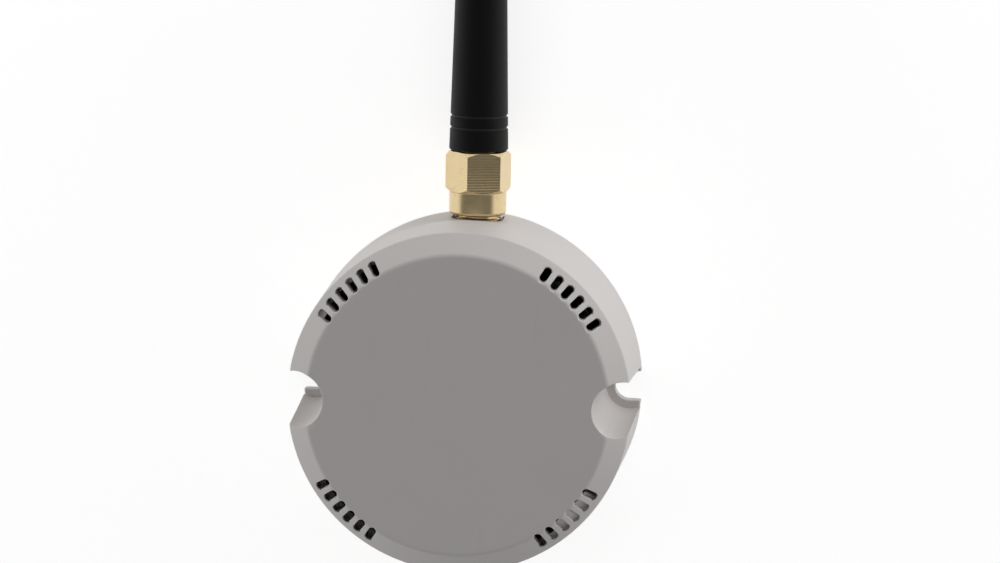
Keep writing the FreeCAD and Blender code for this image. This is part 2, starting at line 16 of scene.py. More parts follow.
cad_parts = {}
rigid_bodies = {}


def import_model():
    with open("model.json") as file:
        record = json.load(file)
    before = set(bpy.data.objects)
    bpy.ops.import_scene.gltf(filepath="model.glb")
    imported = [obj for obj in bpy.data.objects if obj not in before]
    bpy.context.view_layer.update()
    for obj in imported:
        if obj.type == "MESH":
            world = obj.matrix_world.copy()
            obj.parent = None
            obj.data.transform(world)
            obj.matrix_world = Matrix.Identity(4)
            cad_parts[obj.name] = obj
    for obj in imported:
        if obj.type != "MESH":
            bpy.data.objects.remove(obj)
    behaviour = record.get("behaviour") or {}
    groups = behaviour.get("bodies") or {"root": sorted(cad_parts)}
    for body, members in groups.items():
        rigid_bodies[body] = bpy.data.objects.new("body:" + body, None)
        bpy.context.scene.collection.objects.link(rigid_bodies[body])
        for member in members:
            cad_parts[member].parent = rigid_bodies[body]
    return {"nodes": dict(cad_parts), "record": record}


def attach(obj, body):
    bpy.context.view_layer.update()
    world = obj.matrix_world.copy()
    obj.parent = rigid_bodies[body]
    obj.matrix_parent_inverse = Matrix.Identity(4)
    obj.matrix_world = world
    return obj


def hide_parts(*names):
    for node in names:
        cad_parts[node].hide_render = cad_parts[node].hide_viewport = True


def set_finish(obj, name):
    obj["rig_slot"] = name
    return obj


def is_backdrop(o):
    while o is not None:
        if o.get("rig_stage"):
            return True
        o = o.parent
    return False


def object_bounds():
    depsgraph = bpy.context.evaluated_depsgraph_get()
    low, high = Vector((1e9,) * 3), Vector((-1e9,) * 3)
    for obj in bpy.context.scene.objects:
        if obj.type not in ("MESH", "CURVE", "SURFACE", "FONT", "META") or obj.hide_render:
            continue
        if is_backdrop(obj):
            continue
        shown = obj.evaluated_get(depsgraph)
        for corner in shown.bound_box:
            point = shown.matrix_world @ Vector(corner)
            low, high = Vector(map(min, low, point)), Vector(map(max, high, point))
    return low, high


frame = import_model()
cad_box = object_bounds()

nodes = frame["nodes"]

# %% [markdown]
# ## Surfaces from arrays
# Nearly every piece here was turned, moulded or pressed, so its shape is a profile carried round an
# axis or along an outline. Blender has a Screw modifier for that, but an array of points is easier
# to reason about: it has one row for each step round the axis and one column for each point of the
# profile, and a quad joins every four neighbours.

# %% Turn an array into a mesh
MM = 0.001


def in_scene(name, data):
    """New object with that data, in the scene."""
    made = bpy.data.objects.new(name, data)
    bpy.context.scene.collection.objects.link(made)
    return made


def surface(name, grid, ring=False, ends=False, wrap=True):
    """Smooth piece from a (u, v, 3) array in mm. u closes on itself where wrap is true and v where
    ring is true, and ends puts one face on the first and the last loop. Points that coincide
    become one."""
    number = np.arange(grid.shape[0] * grid.shape[1]).reshape(grid.shape[:2])
    if wrap:
        number = np.vstack([number, number[:1]])
    if ring:
        number = np.hstack([number, number[:, :1]])
    quads = np.stack([number[:-1, :-1], number[1:, :-1], number[1:, 1:], number[:-1, 1:]], axis=-1)
    faces = quads.reshape(-1, 4).tolist()
    if ends:
        faces += [number[:-1, 0].tolist(), number[:-1, -1].tolist()]
    mesh = bpy.data.meshes.new(name)
    mesh.from_pydata((grid.reshape(-1, 3) * MM).tolist(), [], faces)
    mesh.shade_smooth()
    piece = in_scene(name, mesh)
    tidy_mesh(piece, 1e-7)
    return piece


def tidy_mesh(piece, distance):
    """Merges points closer than distance in metres and turns every face outwards."""
    work = bmesh.new()
    work.from_mesh(piece.data)
    bmesh.ops.remove_doubles(work, verts=work.verts, dist=distance)
    bmesh.ops.dissolve_degenerate(work, edges=work.edges, dist=distance)
    bmesh.ops.recalc_face_normals(work, faces=work.faces)
    work.to_mesh(piece.data)
    work.free()


# %% Profiles with rounded corners
def rounded(points, radii, steps=5):
    """Profile whose corners are arcs. With h half the angle between a corner's two sides, the arc
    starts radius / tan(h) before the corner, and its centre is radius / sin(h) along the line that
    halves the angle."""
    corner = np.array(points, float)
    radius = np.array(radii, float)[:, None]
    before = np.roll(corner, 1, axis=0) - corner
    after = np.roll(corner, -1, axis=0) - corner
    before /= np.linalg.norm(before, axis=1)[:, None]
    after /= np.linalg.norm(after, axis=1)[:, None]
    half = np.arccos(np.clip((before * after).sum(axis=1), -1, 0.999999))[:, None] / 2
    bisector = before + after
    bisector /= np.maximum(np.linalg.norm(bisector, axis=1), 1e-9)[:, None]
    centre = corner + bisector * radius / np.sin(half)
    start = corner + before * radius / np.tan(half) - centre
    end = corner + after * radius / np.tan(half) - centre
    sweep = np.maximum(math.pi - 2 * half, 1e-6)[:, None]
    share = np.linspace(0, 1, steps)[None, :, None]
    arc = start[:, None] * np.sin((1 - share) * sweep) + end[:, None] * np.sin(share * sweep)
    return (centre[:, None] + arc / np.sin(sweep)).reshape(-1, 2)


AXES = {
    "Z": np.array([(1, 0, 0), (0, 1, 0), (0, 0, 1)], float),
    "Y": np.array([(1, 0, 0), (0, 0, 1), (0, 1, 0)], float),
}


def turned(name, profile, steps, centre=(0, 0, 0), axis="Z", ring=False):
    """Turned piece, whose points are centre + radius (e1 cos u + e2 sin u) + height e3. Its profile
    ends on flat faces, or closes on itself where ring is true. steps is how many lines go round,
    or the lines' own angles in degrees."""
    degrees = np.arange(steps) * 360 / steps if np.isscalar(steps) else steps
    angle = np.radians(degrees)[:, None, None]
    e1, e2, e3 = AXES[axis]
    radius, height = np.asarray(profile).T[:, None, :, None]
    grid = np.array(centre) + radius * (e1 * np.cos(angle) + e2 * np.sin(angle)) + height * e3
    return surface(name, grid, ring, not ring)


def cylinder(name, radius, start, end, steps, centre=(0, 0, 0), axis="Z"):
    """Cylinder along the axis, from start to end."""
    return turned(name, [(radius, start), (radius, end)], steps, centre, axis)


def prism(name, outline, z0, z1):
    """Upright piece with the given (x, y) outline, from z0 to z1."""
    outline = np.asarray(outline, float)
    loops = [np.column_stack([outline, np.full(len(outline), z)]) for z in (z0, z1)]
    return surface(name, np.stack(loops, axis=1), ends=True)


def stadium(length, radius, segments):
    """Outline of a slot along x: a circle of that radius, pulled apart by length."""
    angle = (np.arange(segments) + 0.5) * 2 * math.pi / segments
    return np.column_stack([np.sign(np.cos(angle)) * length / 2 + radius * np.cos(angle),
                            radius * np.sin(angle)])


def turn_outline(outline, degrees, shift=(0, 0)):
    """The outline turned about the origin and then shifted."""
    c, s = math.cos(math.radians(degrees)), math.sin(math.radians(degrees))
    return np.asarray(outline) @ np.array([(c, s), (-s, c)]) + np.array(shift)


def rectangle(x0, x1, y0, y1):
    """Outline of an upright box."""
    return [(x0, y0), (x1, y0), (x1, y1), (x0, y1)]


# %% [markdown]
# ## Cutting and softening
# Pockets, vents and openings are cut with Boolean modifiers, as a cutter would take them out of the
# tool's cavity. A moulded or turned edge is never a knife edge, so a narrow Bevel follows, and
# Weighted Normal keeps the broad faces flat next to it.

# %% Cut, join and soften
def combine(piece, others, operation="DIFFERENCE"):
    """Cuts the others out of the piece, or joins them to it, and removes them."""
    for other in others:
        modifier = piece.modifiers.new(operation, "BOOLEAN")
        modifier.operation = operation
        modifier.solver = "EXACT"
        modifier.object = other
        bpy.context.view_layer.update()
        seen = piece.evaluated_get(bpy.context.evaluated_depsgraph_get())
        piece.data = bpy.data.meshes.new_from_object(seen)
        piece.modifiers.clear()
        bpy.data.objects.remove(other)
    return piece


def merged(name, pieces):
    """The pieces as one piece with that name, whose mesh is of separate shells."""
    work = bmesh.new()
    for piece in pieces:
        work.from_mesh(piece.data)
    work.to_mesh(pieces[0].data)
    work.free()
    for piece in pieces[1:]:
        bpy.data.objects.remove(piece)
    pieces[0].name = name
    return pieces[0]


def soften(piece, width, degrees=30, steps=2):
    """Rounds the edges that are sharper than the given angle, and keeps broad faces flat."""
    bevel = piece.modifiers.new("edge round", "BEVEL")
    bevel.width = width * MM
    bevel.segments = steps
    bevel.limit_method = "ANGLE"
    bevel.angle_limit = math.radians(degrees)
    bevel.use_clamp_overlap = False
    piece.modifiers.new("flat faces", "WEIGHTED_NORMAL").keep_sharp = True
    return piece


# %% [markdown]
# ## The case
# The front shell is moulded ABS: a drafted cup, a flat disc and a bevel round it. It is turned from
# one profile. The pockets for the fixing screws, the four groups of vents, the ribs and the opening
# for the antenna jack are then cut or joined. The hollow is made first, with the ribs cut out of
# it, and the shell is what is left round it, because that needs fewer cuts.

# %% Sizes of the case, the board and the jack
case_height = 22.0
back_radius = 24.05
rim_radius = 23.5
rim_height = 19.8
disc_radius = 20.7
wall = 1.6
cover_thickness = 2.0
draft = (back_radius - rim_radius) / rim_height
bevel_slope = (case_height - rim_height) / (rim_radius - disc_radius)
pocket_x = 22.2
slot_radius = 2.1
well_radius, well_mouth = 3.2, 3.86
ribs_start = 6.0
board_top = 5.7
jack_x, jack_z = 0.8, 6.1
jack_axis = (jack_x, 0, jack_z)
flange_half = 3.2
barrel_radius = 3.05
barrel_slot = barrel_radius + 0.45


def wall_radius(z):
    """Outside radius of the drafted wall at height z."""
    return back_radius - draft * z


shell_foot = wall_radius(cover_thickness)

# The lines that run down the case are 2.5 degrees apart, so that one falls between every two vents.
# Those that would pass close beside the edge of a pocket or of the opening make way, and four more
# lie well clear of the pockets' edges instead.
case_lines = np.arange(144) * 2.5
from_pocket = np.abs((case_lines + 90) % 180 - 90)
case_lines = case_lines[((from_pocket < 6) | (from_pocket > 11)) & (case_lines != 80)]
case_lines = np.sort(np.append(case_lines, [11.25, 168.75, 191.25, 348.75]))
print("lines down the case:", len(case_lines))

# %% The hollow of the shell
ceiling = case_height - 2.0
bevel_drop = wall * math.hypot(1, bevel_slope)
wall_top = rim_height + wall * bevel_slope - bevel_drop
ceiling_radius = rim_radius - (ceiling - rim_height + bevel_drop) / bevel_slope
hollow = turned("hollow", rounded([
    (shell_foot - wall, cover_thickness - 1),
    (shell_foot - wall, cover_thickness),
    (rim_radius - wall, wall_top),
    (ceiling_radius, ceiling),
    (ceiling_radius - 1, ceiling),
], [0, 0, 0.3, 0.3, 0]), case_lines)


def u_slot(radius, z0, z1, side):
    """Round-ended slot at a screw place, open towards the rim."""
    reach = back_radius + 3 - pocket_x
    outline = turn_outline(stadium(reach, radius, 48), 0, (side * (pocket_x + reach / 2), 0))
    return prism("slot", outline, z0, z1)


kept = []
for side in (1, -1):
    kept.append(cylinder("surround", 5.0, ribs_start, case_height, 64, (side * pocket_x, 0, 0)))
    kept.append(u_slot(well_radius + 0.4, 0.5, ribs_start, side))

# Each rib has an angle and a width.
rib_places = ((20, 1.0), (75, 1.0), (105, 1.0), (132, 1.2), (147, 1.2),
              (200, 1.0), (250, 1.0), (290, 1.0), (316, 4.0), (340, 1.0))
rib_reach = 1.6
for angle, width in rib_places:
    outline = rectangle(wall_radius(ribs_start) - wall - rib_reach, back_radius,
                        -width / 2, width / 2)
    kept.append(prism("rib", turn_outline(outline, angle), ribs_start, case_height))
combine(hollow, kept)
print("hollow:", len(hollow.data.polygons), "faces round", len(kept), "ribs and surrounds")

# %% The shell round it
shell_profile = rounded([
    (shell_foot - 3, cover_thickness),
    (shell_foot, cover_thickness),
    (rim_radius, rim_height),
    (disc_radius, case_height),
    (disc_radius - 1, case_height),
], [0, 0.12, 0.4, 1.0, 0])
shell = turned("shell", shell_profile, case_lines)
combine(shell, [hollow])

# A pocket goes right through the shell, and the cover's face is the seat of the screw's head.
openings = [turned("well", [(well_radius, cover_thickness), (well_mouth, case_height)],
                   np.arange(96) * 3.75 + 1.3, (side * pocket_x, 0, 0)) for side in (1, -1)]
opening_start, opening_end = 18, 26
opening = cylinder("opening", barrel_slot, opening_start, opening_end, 64, jack_axis, "Y")
foot = prism("foot", rectangle(jack_x - barrel_slot, jack_x + barrel_slot,
                               opening_start, opening_end), 0, jack_z)
openings.append(combine(opening, [foot], "UNION"))
combine(shell, openings)

vent_straight, vent_radius = 0.98, 0.55
vent_centre, vent_pitch = 21.59, 5.0


def vent(angle, edge=0.13):
    """Cutter for one vent. With t from 0 to 90 degrees, its mouth is wider by edge (1 - cos t) at
    edge (1 - sin t) below the case's own surface, so that it leaves a rounded edge on the slope."""
    front = shell_profile[shell_profile[:, 1] > rim_height][::-1]
    t = np.radians(np.linspace(0, 90, 5))
    wider = np.concatenate([[0], edge * (1 - np.cos(t)), [edge]])
    lower = np.concatenate([[0], 0.004 - edge * (1 - np.sin(t)), [0]])
    rows = [turn_outline(stadium(vent_straight, vent_radius + w, 28), 0, (vent_centre, 0))
            for w in wider]
    outline = np.stack([turn_outline(row, angle) for row in rows], axis=1)
    height = np.interp(np.linalg.norm(outline, axis=2), front[:, 0], front[:, 1]) + lower
    height[:, 0], height[:, -1] = case_height - 4.6, case_height + 0.3
    return surface("vent", np.concatenate([outline, height[..., None]], axis=2), ends=True)


vents = [vent(45 + 90 * group + (number - 2.5) * vent_pitch)
         for group in range(4) for number in range(6)]
print("vents:", len(vents), "each", len(vents[0].data.polygons), "faces")
combine(shell, [merged("vents", vents)])

# Ribs and bosses inside back some of the vents, so those are shallow: each fill has an angle, a
# width, an inner end and how far below the bevel it ends.
backing_places = (
    (317.4, 5.7, 20.7, 0.9), (317.5, 1.4, 20.3, 0.6), (307.4, 1.5, 21.8, 1.2),
    (326.1, 0.7, 20.9, 1.2), (131.9, 1.4, 22.0, 1.3), (147.3, 1.5, 21.6, 0.9),
)
inside, outside, fill_end = 20.2, 23.0, 22.9
backing_foot, fill_foot = 17.0, 17.2
for angle, width, inner, drop in backing_places:
    top = [(r, case_height - bevel_slope * (r - disc_radius) - drop) for r in (inside, outside)]
    backing = turned("backing", top + [(outside, backing_foot), (inside, backing_foot)],
                     case_lines + 1.1, ring=True)
    fill = turn_outline(rectangle(inner, fill_end, -width / 2, width / 2), angle)
    combine(backing, [prism("fill", fill, fill_foot, case_height)], "INTERSECT")
    combine(shell, [backing], "UNION")
tidy_mesh(shell, 0.02 * MM)
soften(shell, 0.11)
print("shell:", len(shell.data.polygons), "faces")

# %% The cover that closes the back
edge_radius = shell_foot - 0.12
joined_at, lip_top, lip_width = 1.5, 3.8, 1.2
lip_radius = wall_radius(lip_top) - wall - 0.3
screw_places = ((15.5, 10.4), (-15.5, 10.4), (14.2, -12.2), (-14.2, -12.2))
lip = turned("lip", rounded([
    (lip_radius - lip_width, joined_at), (lip_radius, joined_at),
    (lip_radius, lip_top), (lip_radius - lip_width, lip_top),
], [0, 0, 0.25, 0.1]), case_lines, ring=True)

# The lip leaves room for the jack and for both pockets, and a cradle under the barrel fills the
# foot of the shell's opening.
gaps = [prism("gap", rectangle(jack_x - 4.2, jack_x + 4.2, 0, 24), 1, 4)]
gaps += [u_slot(3.7, 1, 4, side) for side in (1, -1)]
combine(lip, gaps)
cradle_start, cradle_end, cradle_top, room_radius = 21.2, 25, 4.27, 3.35
cradle = prism("cradle", rectangle(jack_x - flange_half, jack_x + flange_half,
                                   cradle_start, cradle_end), joined_at, cradle_top)
combine(cradle, [cylinder("round end", edge_radius, 1, 5, 180)], "INTERSECT")
combine(cradle, [cylinder("barrel room", room_radius, 20, 26, 64, jack_axis, "Y")])
post_profile = rounded([(2.3, joined_at), (2.3, 2.0), (2.0, 2.4), (2.0, 4.1)], [0, 0.2, 0.2, 0])
posts = [turned("post", post_profile, 48, (x, y, 0)) for x, y in screw_places]
groove = 0.14
cover = turned("cover", [
    (edge_radius - 0.3, 0), (edge_radius, 0.3), (edge_radius, cover_thickness - groove),
    (edge_radius - 0.16, cover_thickness),
], case_lines)
combine(cover, [lip, cradle] + posts, "UNION")

# Round marks of the ejector pins and of the gate, where the plastic came in, show on the back.
mark_circle, mark_depth = 13, 0.13
marks = [cylinder("mark", 1.5, -1, mark_depth, 40,
                  (mark_circle * math.cos(a), mark_circle * math.sin(a), 0))
         for a in np.radians([40, 140, 220, 320])]
marks.append(turned("gate", rounded([(1.3, -1), (1.3, mark_depth), (0.5, 0.22)], [0, 0.1, 0]), 40))
bores = [cylinder("bore", 0.9, 2.45, 5, 32, (x, y, 0)) for x, y in screw_places]
slots = [u_slot(slot_radius, -1, 3, side) for side in (1, -1)]
combine(cover, [merged("marks", marks), merged("bores", bores)] + slots)
tidy_mesh(cover, 0.01 * MM)
soften(cover, 0.06)
print("cover:", len(cover.data.polygons), "faces")

# %% [markdown]
# ## The coupling nut
# A lathe turned its skirt and the cone that chamfers the corners, a mill cut the six flats, and a
# tap cut the thread. So its outside is a function of two numbers: at any angle the radius is the
# smaller of the flat's and the cone's. Where the two meet is worked out for each angle, and a line
# of the grid lies right on it, which keeps the curved ends of the flats sharp.

# %% A screw thread
PITCH = 25.4 / 36


def thread(turns, start, end, crest, root, lines=8):
    """Radius and height of a thread, for each share of a turn. The grid's lines climb one pitch in
    a turn, a pitch / lines apart. The radius stays the same along a line, and fades to the root's
    in the first and the last half pitch."""
    step = np.arange(-lines, math.ceil((end - start) / PITCH * lines) + lines)
    height = start + (step[None, :] / lines + turns[:, None]) * PITCH
    rise = np.clip(1.5 - 4 * np.abs(step / lines % 1 - 0.5), 0, 1)
    fade = np.clip(np.minimum(height - start, end - height) / PITCH * 2, 0, 1)
    return root + (crest - root) * rise * fade, np.clip(height, start, end)


def with_thread(name, first, middle, last, angle):
    """Piece round the jack's axis. Its profile is a few (radius, height) points, which may be
    arrays over the angle, then a thread, then a few more points, and it closes on itself."""
    def columns(points):
        spread = [np.broadcast_arrays(angle, r, h)[1:] for r, h in points]
        return (np.stack([r for r, h in spread], axis=1), np.stack([h for r, h in spread], axis=1))
    parts = [columns(first), middle, columns(last)]
    radius = np.hstack([part[0] for part in parts])
    height = np.hstack([part[1] for part in parts])
    grid = np.stack([jack_x + radius * np.cos(angle)[:, None], height,
                     jack_z + radius * np.sin(angle)[:, None]], axis=-1)
    return surface(name, grid, ring=True, wrap=False)


# %% The nut
nut_start, hex_start, nut_end = 24.23, 27.33, 33.08
across_flats = 8.0
nut_corner = across_flats / math.sqrt(3)
turns = np.linspace(0, 1, 121)
first_flat = 13
pair_facing_up = math.radians(first_flat + 60)
angle = np.radians(first_flat + 30) + turns * 2 * math.pi
from_flat = (np.degrees(angle) - first_flat + 30) % 60 - 30
flat = across_flats / 2 / np.cos(np.radians(from_flat))
corner_cut, cone_height = 0.7, 0.62
cone_rise = (flat - nut_corner + corner_cut) / corner_cut * cone_height
skirt_radius, neck_radius, rear_wall = 3.97, 2.6, 0.65
thread_crest, thread_root = 3.08, 3.2
outside = [
    (3.42, nut_start), (3.62, nut_start), (3.86, nut_start + 0.14),
    (skirt_radius, nut_start + 0.38), (skirt_radius, hex_start - 0.08), (3.9, hex_start),
    (flat, hex_start + cone_rise), (flat, nut_end - cone_rise),
    (nut_corner - corner_cut, nut_end), (neck_radius + 0.1, nut_end), (neck_radius, nut_end - 0.1),
    (neck_radius, nut_end - rear_wall), (thread_root, nut_end - rear_wall),
]
tapped = [values[:, ::-1] for values in
          thread(turns, nut_start + 0.25, nut_end - 1.4, thread_crest, thread_root)]
nut = with_thread("nut", outside, tapped, [(thread_root, nut_start + 0.2)], angle)
soften(nut, 0.05, 22)
print("nut:", len(nut.data.polygons), "faces, corners", round(2 * nut_corner, 2), "mm across")

# %% [markdown]
# ## The jack that the nut screws onto
# Its square flange sits on the edge of the board with four legs, soldered above and below. The
# barrel has a 1/4 inch thread with 36 turns to the inch, which is drawn as a real helix.

# %% The jack
turns = np.linspace(0, 1, 97)
barrel_start, barrel_end = 20.7, 30.63
bore_radius, thread_root = 2.06, 2.74
barrel = with_thread(
    "barrel", [(bore_radius, barrel_start), (2.7, barrel_start)],
    thread(turns, 21.7, barrel_end - 0.35, barrel_radius, thread_root),
    [(2.62, barrel_end), (2.15, barrel_end), (bore_radius, barrel_end - 0.1)],
    turns * 2 * math.pi)


def corner_lines(steps):
    """Lines round four upright corners, steps for each: their angles and the signs of x and y."""
    quarter = np.linspace(0, math.pi / 2, steps)
    around = (np.arange(4)[:, None] * math.pi / 2 + quarter).ravel()
    return around, np.repeat([[1, 1], [-1, 1], [-1, -1], [1, -1]], steps, axis=0)


def block(name, low, high, radius, steps=4):
    """Box with round edges between two corners. With d a direction on a sphere, a point is the
    middle + sign(d) (half the size - radius) + radius d, so the flat faces lie between octants."""
    low, high = np.array(low, float), np.array(high, float)
    around, signs = corner_lines(steps)
    rise = np.concatenate([around[:steps] - math.pi / 2, around[:steps]])
    x, y = np.cos(around)[:, None], np.sin(around)[:, None]
    direction = np.stack(np.broadcast_arrays(np.cos(rise) * x, np.cos(rise) * y, np.sin(rise)),
                         axis=-1)
    sign = np.stack(np.broadcast_arrays(signs[:, :1], signs[:, 1:], np.repeat([-1, 1], steps)),
                    axis=-1)
    grid = (low + high) / 2 + sign * ((high - low) / 2 - radius) + radius * direction
    return surface(name, grid, ends=True)


def finer(piece):
    """Keeps edges over 35 degrees sharp and broad faces flat in the shading."""
    piece.data.set_sharp_from_angle(angle=math.radians(35))
    piece.modifiers.new("flat faces", "WEIGHTED_NORMAL").keep_sharp = True
    return piece


flange = block("flange", (jack_x - flange_half, 19.2, jack_z - flange_half),
               (jack_x + flange_half, 20.9, jack_z + flange_half), 0.15)
combine(flange, [cylinder("bore", bore_radius, 18, 22, 64, jack_axis, "Y")])
leg_places = (jack_x - flange_half, jack_x + 2.2)
leg_start, leg_below = 14.6, 3.1
legs = [block("leg", (x, leg_start, z), (x + 1, 19.4, z + 1), 0.12)
        for x in leg_places for z in (board_top, leg_below)]
jack = finer(merged("jack", [flange, barrel] + legs))
print("jack:", len(jack.data.polygons), "faces, thread pitch", round(PITCH, 4), "mm")

# %% [markdown]
# ## The rubber sleeve
# The sleeve is moulded thermoplastic rubber, pulled over the antenna's core. It tapers a little
# towards its rounded tip, and two ring grooves near the nut let the fingers grip it. It is turned
# from one closed profile, with the bore for the core inside.

# %% The sleeve
sleeve_start, sleeve_end = 33.23, 74.23
base_radius, tip_radius = 4.08, 3.12


def sleeve_radius(distance):
    """Radius of the tapered sleeve at a distance from its start."""
    return base_radius + (tip_radius - base_radius) * distance / (sleeve_end - sleeve_start)


bore_end, core_radius = sleeve_end - 2.4, 2.42
collar_end, collar_radius = 37.9, 2.58
outline = [(0.4, bore_end), (core_radius, bore_end), (core_radius, collar_end),
           (collar_radius, collar_end), (collar_radius, sleeve_start), (base_radius, sleeve_start)]
rounding = [0, 0.1, 0.02, 0.02, 0.15, 0.14]
groove_places = (3.05, 4.7)
for place in groove_places:
    for shift, depth in ((-0.24, 0), (-0.12, 0.17), (0.12, 0.17), (0.24, 0)):
        outline.append((sleeve_radius(place + shift) - depth, sleeve_start + place + shift))
        rounding.append(0.07)
outline += [(tip_radius, sleeve_end), (0.4, sleeve_end)]
rounding += [1.55, 0]
sleeve = finer(turned("sleeve", rounded(outline, rounding, 7), 128, jack_axis, "Y"))
print("sleeve:", len(sleeve.data.polygons), "faces,", round(sleeve_end - sleeve_start), "mm long")

# %% [markdown]
# ## On the board
# The case opens, so the board inside is dressed too: a coin cell in its holder, a radio chip under
# a shield can, an amplifier in line with the jack, and small parts. Each is a block with round
# edges or a turned shape, and each sits in the small concave ramp of solder that holds a real one.

# %% The coin cell
cell = finer(turned("cell", rounded([
    (1, 7.6), (11.5, 7.6), (11.5, 7.1), (12.25, 7.1), (12.25, 11.9), (11.5, 11.9), (11.4, 11.84),
    (11.0, 11.84), (10.9, 11.9), (1, 11.9),
], [0, 0.05, 0.15, 0.3, 0.45, 0.04, 0.04, 0.04, 0.04, 0]), 160, (0, -5.5, 0)))

# %% Screws with a cross recess
screws = []
for x, y in screw_places:
    head = turned("screw", rounded([
        (0.6, 2.5), (0.85, 2.9), (0.85, board_top), (1.75, board_top), (1.75, 6.55), (1.2, 6.9),
        (0.1, 6.9),
    ], [0, 0.1, 0.05, 0.08, 0.3, 0.4, 0]), 48, (x, y, 0))
    turned_by = 20 + 31 * x + 17 * y
    for extra in (0, 90):
        outline = turn_outline(stadium(1.5, 0.2, 16), turned_by + extra, (x, y))
        combine(head, [prism("recess", outline, 6.3, 7.5)])
    screws.append(head)
screws = finer(merged("screws", screws))
print("screws:", len(screws.data.polygons), "faces")


# %% Solder
joints = []


def solder(x0, x1, y0, y1, width, height, steps=4):
    """Adds a joint: a concave ramp round a rectangle on the board. At a share s of its width it is
    height (1 - s) squared high, and its corners are round."""
    corner = 0.03
    around, sign = corner_lines(steps)
    share = np.array([-0.2, -0.2, 0, 0.2, 0.45, 0.75, 1.0])
    rise = np.where(share < 0, 0, (1 - share) ** 2) * height
    rise[1] = height
    half = np.array([x1 - x0, y1 - y0]) / 2
    out = np.stack([np.cos(around), np.sin(around)], axis=1)
    reach = corner + np.maximum(share, -0.1) * width
    flat = sign[:, None] * (half - corner) + out[:, None] * reach[:, None]
    middle = np.array([x0 + x1, y0 + y1]) / 2
    z = np.broadcast_to(board_top + rise, flat.shape[:2])[..., None]
    joints.append(surface("solder", np.concatenate([flat + middle, z], axis=-1), ends=True))


for x in leg_places:
    solder(x, x + 1, leg_start, 19.1, 0.55, 0.75)


# %% Small resistors and capacitors
def on_board(name, x, y, half_x, half_y, top, radius, steps=4, foot=board_top):
    """Block with its middle at x, y, up to the height top."""
    return block(name, (x - half_x, y - half_y, foot), (x + half_x, y + half_y, top), radius, steps)


passive_places = (
    (-2.6, 10.6), (-2.6, 11.6), (-2.6, 12.6), (3.3, 9.6), (3.3, 10.6), (3.3, 11.6),
    (2.0, 15.2), (-0.4, 15.2), (-11.9, 10.6), (-11.9, 9.4), (13.9, 5.6), (13.9, 4.6), (15.6, 5.6),
)
bodies, caps = [], []
for x, y in passive_places:
    bodies.append(on_board("body", x, y, 0.34, 0.24, 6.18, 0.04, 2))
    for x0, x1 in ((x - 0.5, x - 0.24), (x + 0.24, x + 0.5)):
        caps.append(block("cap", (x0, y - 0.25, board_top), (x1, y + 0.25, 6.2), 0.05, 3))
        solder(x0, x1, y - 0.22, y + 0.22, 0.16, 0.22, 3)
passive_bodies, passive_caps = merged("small_parts", bodies), merged("end_caps", caps)
print("small parts:", len(bodies), "with", len(caps), "end caps")

# %% Chips, crystal and shield can
sx, sy, half_x, half_y = 8.5, 12.2, 4.3, 3.3
shield = on_board("shield", sx, sy, half_x, half_y, 7.5, 0.35, 5, board_top - 1)
combine(shield, [on_board("inside", sx, sy, 4.1, 3.1, 7.3, 0.2, foot=4)])
combine(shield, [prism("below", rectangle(sx - 6, sx + 6, sy - 5, sy + 5), 4, board_top)])
hole_pitch = 0.9
air = [cylinder("hole", 0.22, 7, 8, 12, (sx - 2.7 + hole_pitch * i, sy - 1.8 + hole_pitch * j, 0))
       for i in range(7) for j in range(5) if (i + j) % 2 == 0]
combine(shield, [merged("air", air)])
finer(shield)
solder(sx - half_x, sx + half_x, sy - half_y, sy + half_y, 0.25, 0.3)
radio = block("radio", (sx - 3.8, sy - 2.5, board_top), (sx + 1.2, sy + 2.5, 6.6), 0.06)
amplifier = on_board("amplifier", jack_x, 12, 1.5, 1.5, 6.5, 0.06)
for chip, x, y in ((amplifier, jack_x - 1.1, 13.1), (radio, sx - 3.3, sy + 2.0)):
    combine(chip, [cylinder("dot", 0.18, 6.4, 7, 20, (x, y, 0))])
    finer(chip)
pads = []
pad_pitch, pad_top, reach = 0.75, 5.78, 1.45
for shift in (np.arange(4) - 1.5) * pad_pitch:
    for side in (1, -1):
        pads.append(on_board("pad", jack_x + side * reach, 12 + shift, 0.2, 0.14, pad_top, 0.03, 2))
        pads.append(on_board("pad", jack_x + shift, 12 + side * reach, 0.14, 0.2, pad_top, 0.03, 2))
pads = merged("pads", pads)
crystal = block("crystal_lid", (sx + 2.1, sy - 1.0, board_top), (sx + 3.7, sy + 1.0, 6.3), 0.15)

# %% The bulk capacitor
cx, cy = -14.3, 5.2
can_z = board_top + 0.7
capacitor = finer(turned("capacitor", rounded([
    (0.4, can_z), (2.0, can_z), (2.0, can_z + 0.9), (1.78, can_z + 1.15), (2.0, can_z + 1.4),
    (2.0, can_z + 5), (1.55, can_z + 5), (1.5, can_z + 4.9), (0.4, can_z + 4.9),
], [0, 0.1, 0.15, 0.2, 0.15, 0.3, 0.04, 0.04, 0], 6), 64, (cx, cy, 0)))
base = on_board("capacitor_foot", cx, cy, 2.15, 2.15, can_z, 0.12)
for side in (1, -1):
    corner = turn_outline(rectangle(-1, 1, -1, 1), 45, (cx + side * 2.5, cy + 2.5))
    combine(base, [prism("corner", corner, 5, 7)])
    x = cx + side * 1.9
    solder(x - 0.3, x + 0.3, cy - 0.35, cy + 0.35, 0.5, 0.2)
finer(base)

